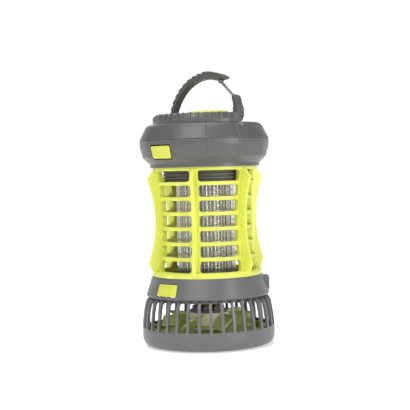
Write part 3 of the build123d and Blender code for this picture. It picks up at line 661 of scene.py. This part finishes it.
def fan_button():
    """Push button in the collar, with a raised sign of a fan."""
    def at(u, v, height):
        return round_z(collar_radius(v) + height, u, v)

    net = Net()
    half = degrees(12.0 / BUTTON_R)
    across, up = spread(-1, 1, 0.2), spread(-1, 1, 0.5)
    levels = ((1.0, 1.0, -6.0), (0.8, 0.8, -1.5), (0.0, 0.0, -0.5), (0.2, 0.2, -0.1), (0.7, 0.7, 0.25))
    pad(net, at, (0.0, FAN_BUTTON_Z, half, 5.5, 1.4, 1.4), across, up, levels)
    for shape in fan_sign():
        emblem(net, at, (0.0, FAN_BUTTON_Z), shape, 0.0, 0.42)
    piece("fan_push_button", net, "fan_key", ["fan_button"], bevel=0.12)


def latch(name, angle):
    """Squeeze latch with three finger grooves."""
    grooves = 54.1, 56.9, 59.7

    def at(u, v, height):
        groove = 0.9 if abs(u - angle) < 5.2 and any(abs(v - z) < 0.62 for z in grooves) else 0.0
        return round_z(59.0 + height - groove, u, v)

    heights = [50.9, 53.3, 53.6, 54.6, 54.9, 56.1, 56.4, 57.4, 57.7, 58.9, 59.2, 60.2, 60.5, 62.0, 63.4]
    across = [angle + u for u in (-6.1, -5.3, -5.0, -2.5, 0, 2.5, 5.0, 5.3, 6.1)]
    net = Net()
    half = degrees(7.5 / 59.2)
    levels = ((0.0, 0.0, -7.6), (0.0, 0.0, -1.6), (0.5, 0.6, -0.6), (1.5, 1.6, 0.0), (2.4, 2.4, 0.15))
    pad(net, at, (angle, LATCH_Z, half, 7.45, 3.0, 2.6), across, heights, levels)
    piece(name + "_pad", net, name, [name], bevel=0.15)


# ---------------------------------------------------------------- cage
def cage():
    """Waisted cage: six columns of seven slots between two rings, with six pointed fins."""
    waist = spline([(71.7, 48.4), (80.0, 46.8), (95.0, 44.9), (118.0, 44.0), (140.0, 44.9), (155.0, 46.6),
                    (165.9, 48.0)], 5)
    knots = [(60.0, 51.9, 66.8, 44.2, 66.8), (64.0, 51.9, 70.2, 44.3, 69.0), (66.0, 51.0, 71.5, 44.4, 70.0)]
    knots += [(z, radius, z, radius - 4.4, z) for z, radius in waist]
    knots += [(170.0, 48.9, 166.0, 44.6, 166.4), (172.0, 49.6, 167.0, 44.3, 167.0),
              (176.0, 49.6, 169.0, 44.2, 169.0)]

    def at(u, v, side):
        radius, z = section(knots, v)[side]
        return round_z(radius, u, z)

    middles = [SLOT_Z + SLOT_PITCH * row for row in range(SLOTS)]
    slots = [(middle - 7.0, middle + 7.0) for middle in middles]
    slots[0] = 71.7, slots[0][1]
    slots[-1] = slots[-1][0], 167.0
    inner, half_height = 3.1, 5.4
    rows = [[60.0, 64.0, 66.0, 71.7]]
    rows += [cell(low, high, (middle - half_height + inner, middle + half_height - inner), 1.6)
             for middle, (low, high) in zip(middles, slots)]
    rows += [[167.0, 170.0, 172.0, 176.0]]
    half, corner = 25.4, degrees(inner / 45.5)
    columns = ring_cells(COLUMNS, half, corner, 3.1)
    windows = {(k, row + 1): (360 / COLUMNS * k, middle, half, half_height, corner, inner)
               for k in range(COLUMNS) for row, middle in enumerate(middles)}
    net = Net()
    wall(net, columns, rows, at, windows)
    hollow = [(50.0 + 7.0 * ((z - 119) / 40) ** 2, z) for z in spread(79, 159, 4)]
    back = [(radius - 2.2, z) for z, radius in reversed(waist)]
    outline = [(47.0, 68.2), (51.9, 68.2), (53.0, 70.0), *hollow, (50.6, 167.4), (46.4, 167.4), *back]
    for k in range(COLUMNS):
        turn = 360 / COLUMNS * (k + 0.5)
        sides = []
        for side in (-1.55, 1.55):
            loop = []
            for radius, z in outline:
                x, y, _ = round_z(radius, turn, 0)
                loop.append((x + side * cos(radians(turn)), y + side * sin(radians(turn)), z))
            sides.append(loop)
        loft(net, sides)
    piece("cage_moulding", net, "lantern", ["cage_half_front", "cage_half_back"], bevel=0.7, segments=3)


# ---------------------------------------------------------------- electrified grid and lamp
def wire_grid(name, node, radius, rings, uprights, start):
    """Cylinder of wire rings on upright wires."""
    net = Net()
    for z in rings:
        pipe(net, [round_z(radius, 5 * k, z) for k in range(72)], 0.5, 6, closed=True)
    for k in range(uprights):
        angle = start + 360 / uprights * k
        thick = 0.75 if k % 6 == 0 else 0.4
        pipe(net, [round_z(radius - 0.45, angle, z) for z in (72.3, 113.0, 154.2)], thick, 6)
    piece(name, net, "lantern", [node], bevel=0)


def grids():
    """Outer and inner cylinders of the electrified grid, with rings at alternate heights."""
    outer = [GRID_Z0 + GRID_PITCH * k for k in range(GRID_RINGS)]
    inner = [GRID_Z0 + GRID_PITCH * (k + 0.5) for k in range(GRID_RINGS - 1)]
    wire_grid("grid_outer_wires", "grid_outer", 27.4, outer, 48, 0)
    wire_grid("grid_inner_wires", "grid_inner", 22.6, inner, 36, 5)


def neck():
    """Ribbed plug that closes the cage's top, above the grid."""
    net = Net()
    profile = [(0, 154.0), (38.2, 154.0), (38.6, 154.4)]
    z = 155.0
    while z < 167.5:
        profile += [(40.0, z), (40.0, z + 1.5), (38.7, z + 2.0), (38.7, z + 2.8)]
        z += 3.2
    profile += [(40.0, 168.6), (40.0, 173.6), (36.5, 173.6), (36.5, 158.2), (0, 158.2)]
    lathe(net, profile, 144)
    piece("neck_ribs", net, "lantern", ["neck"], bevel=0.2)


def grid_seat():
    """Grooved disc that the grid and the lamp stand in."""
    net = Net()
    lathe(net, [(9.4, 65.2), (27.6, 65.2), (28.0, 65.6), (28.0, 67.2), (27.2, 67.8), (27.2, 69.0),
                (28.0, 69.6), (28.0, 71.2), (27.4, 72.4), (9.4, 72.4)], 120)
    lathe(net, [(0, 65.2), (9.4, 65.2), (9.4, 69.0), (0, 69.0)], 48)
    piece("grid_seat", net, "lantern", ["lower_insulator"], bevel=0.3)


def lamp_tube():
    """Glass tube with a rounded lower end."""
    glass = Net()
    lathe(glass, [(0, 69.4), (5.0, 69.4), (7.2, 70.1), (8.5, 71.6), (9.0, 73.6), (9.0, 160.0), (7.8, 160.0),
                  (7.8, 74.2), (6.8, 72.6), (5.0, 71.4), (0, 71.2)], 64)
    piece("lamp_tube", glass, "lantern", ["uv_tube"], bevel=0)


# ---------------------------------------------------------------- housing
LOWER_KNOTS = [(160.0, 40.6, 169.0, 40.6, 171.8), (169.0, 52.0, 169.0, 49.6, 171.8),
               (172.2, 52.0, 172.2, 49.6, 173.6), (178.6, 58.7, 178.6, 56.1, 179.6),
               (189.6, 61.5, 189.6, 59.1, 190.2), (194.3, 61.5, 194.3, 59.1, 194.3)]
UPPER_KNOTS = [(194.9, 61.5, 194.9, 59.1, 194.9), (195.4, 61.5, 195.4, 59.1, 195.2),
               (206.8, 55.7, 206.8, 53.5, 205.4), (208.9, 53.7, 208.9, 52.2, 206.8),
               (LID_TOP, 51.4, LID_TOP, 50.9, 207.4), (256.2, 6.0, LID_TOP, 6.0, 207.4)]


def fade(v, low, high):
    """Share of the way from low to high, held at 0 and 1."""
    return min(max((v - low) / (high - low), 0.0), 1.0)


def panelled(knots):
    """Placing function of a housing shell, with flatter panels and upright grooves between them."""
    def at(u, v, side):
        radius, z = section(knots, v)[side]
        from_middle = (u + 15) % 30 - 15
        full = fade(v, 172.2, 177.0) * (1 - fade(v, 206.6, LID_TOP))
        radius *= 1 - 0.12 * full * (1 - cos(radians(15)) / cos(radians(from_middle)))
        if side == 0 and 15 - abs(from_middle) < 0.4 and abs(u - 15) > 1:
            near_button = min(u % 360, -u % 360) < 20
            radius -= (0.25 if near_button else 0.4) * fade(v, 171.6, 173.6) * (1 - fade(v, 207.6, 208.9))
        return round_z(radius, u, z)
    return at


def housing_columns():
    """Grid lines of the panels and of the narrow grooves between them."""
    columns = []
    for k in range(PANELS):
        groove = 30 * k - 15
        columns.append([groove - 0.62, groove - 0.34, groove + 0.34, groove + 0.62])
        columns.append(cell(groove + 0.62, groove + 29.38, (groove + 4.6, groove + 25.4), 2.6))
    return columns


def housing():
    """Lower bowl with windows for the lamp button and the charging port, and the lid."""
    rows = [[160.0, 164.5, 169.0], [169.0, 172.2], [172.2, 173.6, 175.4],
            cell(175.4, 190.8, (178.6, 187.6), 1.6), [190.8, 192.5, 194.3]]
    windows = {(1, 3): (0.0, LAMP_BUTTON_Z, 12.6, 6.9, 1.9, 2.0), (13, 3): (180.0, 184.2, 4.7, 2.0, 0.7, 0.7)}
    lower = Net()
    wall(lower, housing_columns(), rows, panelled(LOWER_KNOTS), windows)

    def back_pad(u, v, side):
        return -u, (61.4, 56.6)[side], v

    columns = [cell(-10, 10, (-8, 8), 2.0)]
    wall(lower, columns, [cell(177.0, 191.0, (179.0, 189.0), 2.0)], back_pad,
         {(0, 0): (0.0, 184.2, 4.9, 2.0, 0.8, 0.8)}, closed=False)
    piece("housing_bowl", lower, "lantern", ["housing_lower"], bevel=0.3, limit=24)
    rows = [[194.9, 195.4], spread(195.4, 206.8, 1.9), [206.8, 208.9], [208.9, LID_TOP],
            spread(LID_TOP, 256.2, 7.8)]
    upper = Net()
    wall(upper, housing_columns(), rows, panelled(UPPER_KNOTS))
    piece("housing_lid", upper, "lantern", ["housing_upper"], bevel=0.3, limit=24)


def lamp_button():
    """Push button in the housing, with a raised sign of a bolt."""
    surface = panelled(LOWER_KNOTS)

    def at(u, v, height):
        x, y, z = surface(u, v, 0)
        radius = hypot(x, y)
        return x * (radius + height) / radius, y * (radius + height) / radius, z

    half = 11.5
    across, up = spread(-1, 1, 0.2), [177.7, 179.2, 181.6, 184.3, 186.8, 188.5]
    levels = ((1.0, 1.0, -6.0), (0.8, 0.8, -1.5), (0.0, 0.0, -0.5), (0.2, 0.2, -0.1), (0.7, 0.7, 0.25))
    net = Net()
    pad(net, at, (0.0, LAMP_BUTTON_Z, half, 5.85, 1.35, 1.4), across, up, levels)
    emblem(net, at, (0.0, 184.1), BOLT, 0.0, 0.42)
    piece("lamp_push_button", net, "lamp_key", ["lamp_button"], bevel=0.12)


def crown():
    """Half ring of ridges in front of the folded handle's path."""
    ridge = [(42.6, LID_TOP), (48.5, LID_TOP), (48.5, 212.4), (48.5, 215.4), (47.6, 217.4), (45.8, 218.8),
             (43.8, 219.3), (42.6, 219.3)]
    valley = [(42.6, LID_TOP), (48.5, LID_TOP), (48.4, 213.4), (46.6, 214.3), (45.9, 216.4), (44.9, 218.2),
              (43.8, 218.8), (42.6, 218.8)]
    stations = [(-86.0, ridge), (-83.4, ridge)]
    for k in range(18):
        middle = 9 * (k - 8.5)
        stations += [(middle - 3.8, ridge), (middle - 3.0, valley), (middle, valley), (middle + 3.0, valley),
                     (middle + 3.8, ridge)]
    stations += [(83.4, ridge), (86.0, ridge)]
    net = Net()
    loft(net, [[round_z(radius, angle, z) for radius, z in profile] for angle, profile in stations])
    piece("crown_ridges", net, "lantern", ["crown_ring"], bevel=0.25, limit=25)


def bridge_and_cap():
    """Bar that the handle's axle runs through, with a round seat for the green cap."""
    bar = Net()
    section_points = ((-3.0, LID_TOP), (-3.0, 216.4), (-2.7, 217.5), (-1.8, 218.4), (-0.6, 218.8),
                      (4.6, 218.8), (5.8, 218.4), (6.7, 217.5), (7.0, 216.4), (7.0, LID_TOP))
    loops = []
    for x, inset in ((-37.4, 0.5), (-36.9, 0.0), (-18.0, 0.0), (0.0, 0.0), (18.0, 0.0), (36.9, 0.0),
                     (37.4, 0.5)):
        loop = []
        for y, z in section_points:
            loop.append((x, y + (inset if y < 2 else -inset), max(z - inset, LID_TOP)))
        loops.append(loop)
    loft(bar, loops)
    lathe(bar, [(0, LID_TOP), (22.8, LID_TOP), (22.8, 217.4), (22.4, 218.4), (21.6, 219.0), (21.05, 219.0),
                (21.05, 217.4), (0, 217.4)], 96, CAP_PLACE)
    piece("axle_bridge", bar, "lantern", ["top_bridge"], bevel=0.3)
    cap = Net()
    lathe(cap, [(0, 217.4), (21.0, 217.4), (21.0, 219.9), (20.7, 220.7), (19.8, 221.4), (16.0, 222.1),
                (8.0, 222.35), (0, 222.4)], 96, CAP_PLACE)
    piece("green_cap", cap, "lantern", ["top_cap"], bevel=0.15)


# ---------------------------------------------------------------- folding clip handle
PIVOT = Vector((0.0, 2.0, 214.8))
LEAN = Matrix.Rotation(radians(-7), 3, "X")


def raised(point):
    """Point of the handle, drawn upright round its axle, with the handle's lean."""
    return PIVOT + LEAN @ Vector(point)


def handle_loop(angle, inner, outer, half, corner):
    """Rounded section across the handle's arch at an angle from +X."""
    turn = radians(angle)
    loop = []
    for across, _, radius in box_loop(-half, half, inner, outer, corner, 0.0):
        loop.append(raised((radius * cos(turn), across, radius * sin(turn))))
    return loop


def foot(net, side):
    """Round foot on the axle."""
    loops = []
    for x, radius in ((40.0, 4.1), (40.4, 4.5), (44.6, 4.5), (45.0, 4.1)):
        loops.append([raised((side * x, radius * cos(2 * pi * k / 40), radius * sin(2 * pi * k / 40)))
                      for k in range(40)])
    loft(net, loops)


def arch_inner(angle):
    """Distance from the axle to the arch's inner face, which is a shifted circle."""
    turn = radians(angle)
    along = -0.8 * cos(turn) - 1.2 * sin(turn)
    across = 0.8 * sin(turn) - 1.2 * cos(turn)
    return along + sqrt(39.3 ** 2 - across ** 2)


def handle_bow():
    """Ridged arch with a beaked nose, a foot on the axle and a lug for the gate."""
    arch = Net()
    loops = []
    angle = 180.0
    while angle > 57.5:
        outer, half = HANDLE_R, 4.1
        if angle > 95:
            phase = ((176.5 - angle) % 9) / 9
            outer -= 1.5 * phase if angle < 176.5 else 0.6
        outer += 1.5 * fade(75 - angle, 0, 18)
        head = fade(100 - angle, 0, 5)
        half += 0.4 * head
        inner = arch_inner(angle) if angle < 176 else 40.0
        inner += (outer - 2.2 - inner) * fade(71 - angle, 0, 14) ** 1.3
        loops.append(handle_loop(angle, inner, outer, half, 0.9))
        angle -= 1.125
    for nose, shrink in ((56.9, 0.2), (56.3, 0.6), (55.9, 0.95)):
        loops.append(handle_loop(nose, 44.3 + shrink, 46.5 - shrink, 4.3 - shrink, 0.9 - shrink * 0.8))
    loft(arch, loops)
    foot(arch, -1)
    lug = []
    for depth, grow in ((37.2, -0.7), (37.5, 0.0), (40.6, 0.4)):
        low, high, side = 62.0 - grow, 63.8 + grow, 2.6 + grow
        lug.append([raised((depth * cos(radians(a)), y, depth * sin(radians(a))))
                    for a, y in ((low, -side), (high, -side), (high, side), (low, side))])
    loft(arch, lug)
    piece("handle_bow", arch, "handle", ["handle_arch"], bevel=0)


def handle_stub():
    """Short post on the axle that carries the gate's pin."""
    post = Net()
    loops = []
    for angle in spread(0, 25.5, 1.5):
        knuckle = 1 - fade(angle, 12.0, 14.0)
        outer = HANDLE_R + 0.85 * knuckle - (0.35 if int(angle / 1.5) % 2 and angle > 14 else 0.0)
        loops.append(handle_loop(angle, 39.8 - 0.8 * knuckle, outer, 4.3 + 0.2 * knuckle, 0.9))
    for angle, shrink in ((27.0, 0.35), (28.2, 0.9), (29.0, 1.7)):
        loops.append(handle_loop(angle, 39.8 + shrink, HANDLE_R - shrink, 4.3 - shrink * 0.6, 0.7))
    loft(post, loops)
    foot(post, 1)
    piece("handle_stub", post, "handle", ["handle_post"], bevel=0)


def gate():
    """Wire gate bent round at its tip, with an eye on the pin in the post."""
    px, pz = PIN_R * cos(radians(PIN_ANGLE)), PIN_R * sin(radians(PIN_ANGLE))
    nx, nz = GATE_R * cos(radians(GATE_ANGLE)), GATE_R * sin(radians(GATE_ANGLE))
    start, end = Vector((px, 0, pz)), Vector((nx, 0, nz))
    along = (end - start).normalized()
    straight = (end - start).length - 1.4
    side = Vector((0, 1, 0))
    path = [start + side * GATE_HALF]
    path += [start + along * t + side * GATE_HALF for t in spread(2, straight, 3)]
    path += [start + along * (straight + GATE_HALF * sin(radians(a))) + side * GATE_HALF * cos(radians(a))
             for a in spread(22.5, 157.5, 22.5)]
    path += [start + along * t - side * GATE_HALF for t in reversed(spread(2, straight, 3))]
    path += [start - side * GATE_HALF]
    wire = Net()
    pipe(wire, [raised(point) for point in path], GATE_WIRE_R, 10)
    eye = []
    for y, radius in ((-1.9, 1.4), (-1.7, 1.6), (1.7, 1.6), (1.9, 1.4)):
        eye.append([raised((px + radius * cos(2 * pi * k / 24), y, pz + radius * sin(2 * pi * k / 24)))
                    for k in range(24)])
    loft(wire, eye)
    piece("gate_wire", wire, "gate", ["handle_gate"], bevel=0)


base_shell()
fan()
collar()
fan_button()
latch("latch_right", LATCH_ANGLE)
latch("latch_left", -LATCH_ANGLE)
cage()
grids()
neck()
grid_seat()
lamp_tube()
housing()
lamp_button()
crown()
bridge_and_cap()
handle_bow()
handle_stub()
gate()


# ---------------------------------------------------------------- floor, light and camera
def plain_floor():
    """Round pale floor, a little below the feet."""
    sides, level = 64, -0.0002
    mesh = bpy.data.meshes.new("floor")
    build = bmesh.new()
    turns = [2 * pi * k / sides for k in range(sides)]
    loops = []
    for radius in (0.3, 0.7, 1.0):
        loops.append([build.verts.new((radius * cos(turn), radius * sin(turn), level)) for turn in turns])
    build.faces.new(loops[0])
    for inner, outer in zip(loops, loops[1:]):
        for k in range(sides):
            n = (k + 1) % sides
            build.faces.new((inner[k], inner[n], outer[n], outer[k]))
    bmesh.ops.recalc_face_normals(build, faces=build.faces)
    build.to_mesh(mesh)
    build.free()
    material, tree, shader, where = wire_up("pale_floor")
    cloud = noise(tree, where, 3, 2.0)
    base = blend_colours(tree, cloud, (0.90, 0.90, 0.90), (0.93, 0.93, 0.93))
    tree.links.new(base, shader.inputs["Base Color"])
    shader.inputs["Roughness"].default_value = 0.7
    shader.inputs["Emission Color"].default_value = (1, 1, 1, 1)
    shader.inputs["Emission Strength"].default_value = 0.45
    mesh.materials.append(material)
    item = bpy.data.objects.new("floor", mesh)
    scene.collection.objects.link(item)


LAMP_AIM = Vector((0, 0, 0.12))


def lamp(name, angle, elevation, distance, size, power):
    """Soft box at an angle from the front and an elevation, facing the object."""
    light = bpy.data.lights.new(name, "AREA")
    light.shape = "RECTANGLE"
    light.size, light.size_y = size
    light.energy = power
    item = bpy.data.objects.new(name, light)
    up = radians(elevation)
    x, y, _ = round_z(distance * cos(up), angle, 0)
    item.location = Vector((x, y, distance * sin(up) + LAMP_AIM.z))
    item.rotation_mode = "QUATERNION"
    item.rotation_quaternion = (LAMP_AIM - item.location).to_track_quat("-Z", "Y")
    scene.collection.objects.link(item)


def studio():
    """Floor, four soft boxes, and a world that is brightest near the horizon."""
    plain_floor()
    lamp("key_left", 18, 42, 1.5, (0.8, 0.8), 11.5)
    lamp("side_right", 90, 10, 1.4, (0.3, 1.1), 8)
    lamp("overhead", 30, 84, 1.6, (1.2, 1.2), 12)
    lamp("back_left", -120, 35, 1.7, (0.8, 0.8), 5)
    world = bpy.data.worlds.new("studio")
    scene.world = world
    world.use_nodes = True
    tree = world.node_tree
    backdrop = tree.nodes["Background"]
    backdrop.inputs["Color"].default_value = (1, 1, 1, 1)
    place = tree.nodes.new("ShaderNodeTexCoord")
    parts = tree.nodes.new("ShaderNodeSeparateXYZ")
    height = tree.nodes.new("ShaderNodeMath")
    height.operation = "ABSOLUTE"
    tree.links.new(place.outputs["Generated"], parts.inputs["Vector"])
    tree.links.new(parts.outputs["Z"], height.inputs[0])
    tree.links.new(ramp(tree, height.outputs[0], 0.17, 0.30, 1.02, 0.26), backdrop.inputs["Strength"])
    scene.view_settings.view_transform = "Standard"
    scene.view_settings.look = "None"


CAMERA_PLACE = Vector((0.7161, -0.7679, 0.168))
CAMERA_PITCH = 1.93      # degrees down
CAMERA_ROLL = 1.45
CAMERA_LENS = 96.6


def camera():
    """Camera level with the top of the cage, a little rolled, looking at the object's corner."""
    data = bpy.data.cameras.new("camera")
    data.lens = CAMERA_LENS
    data.sensor_width = 36.0
    data.clip_end = 30
    data.shift_x = -0.0018
    item = bpy.data.objects.new("camera", data)
    item.location = CAMERA_PLACE
    ahead = Vector((-CAMERA_PLACE.x, -CAMERA_PLACE.y, 0)).normalized()
    pitch = radians(CAMERA_PITCH)
    gaze = ahead * cos(pitch) - Vector((0, 0, sin(pitch)))
    item.rotation_mode = "QUATERNION"
    item.rotation_quaternion = gaze.to_track_quat("-Z", "Y") @ Quaternion((0, 0, 1), radians(-CAMERA_ROLL))
    scene.collection.objects.link(item)
    scene.camera = item


studio()
camera()
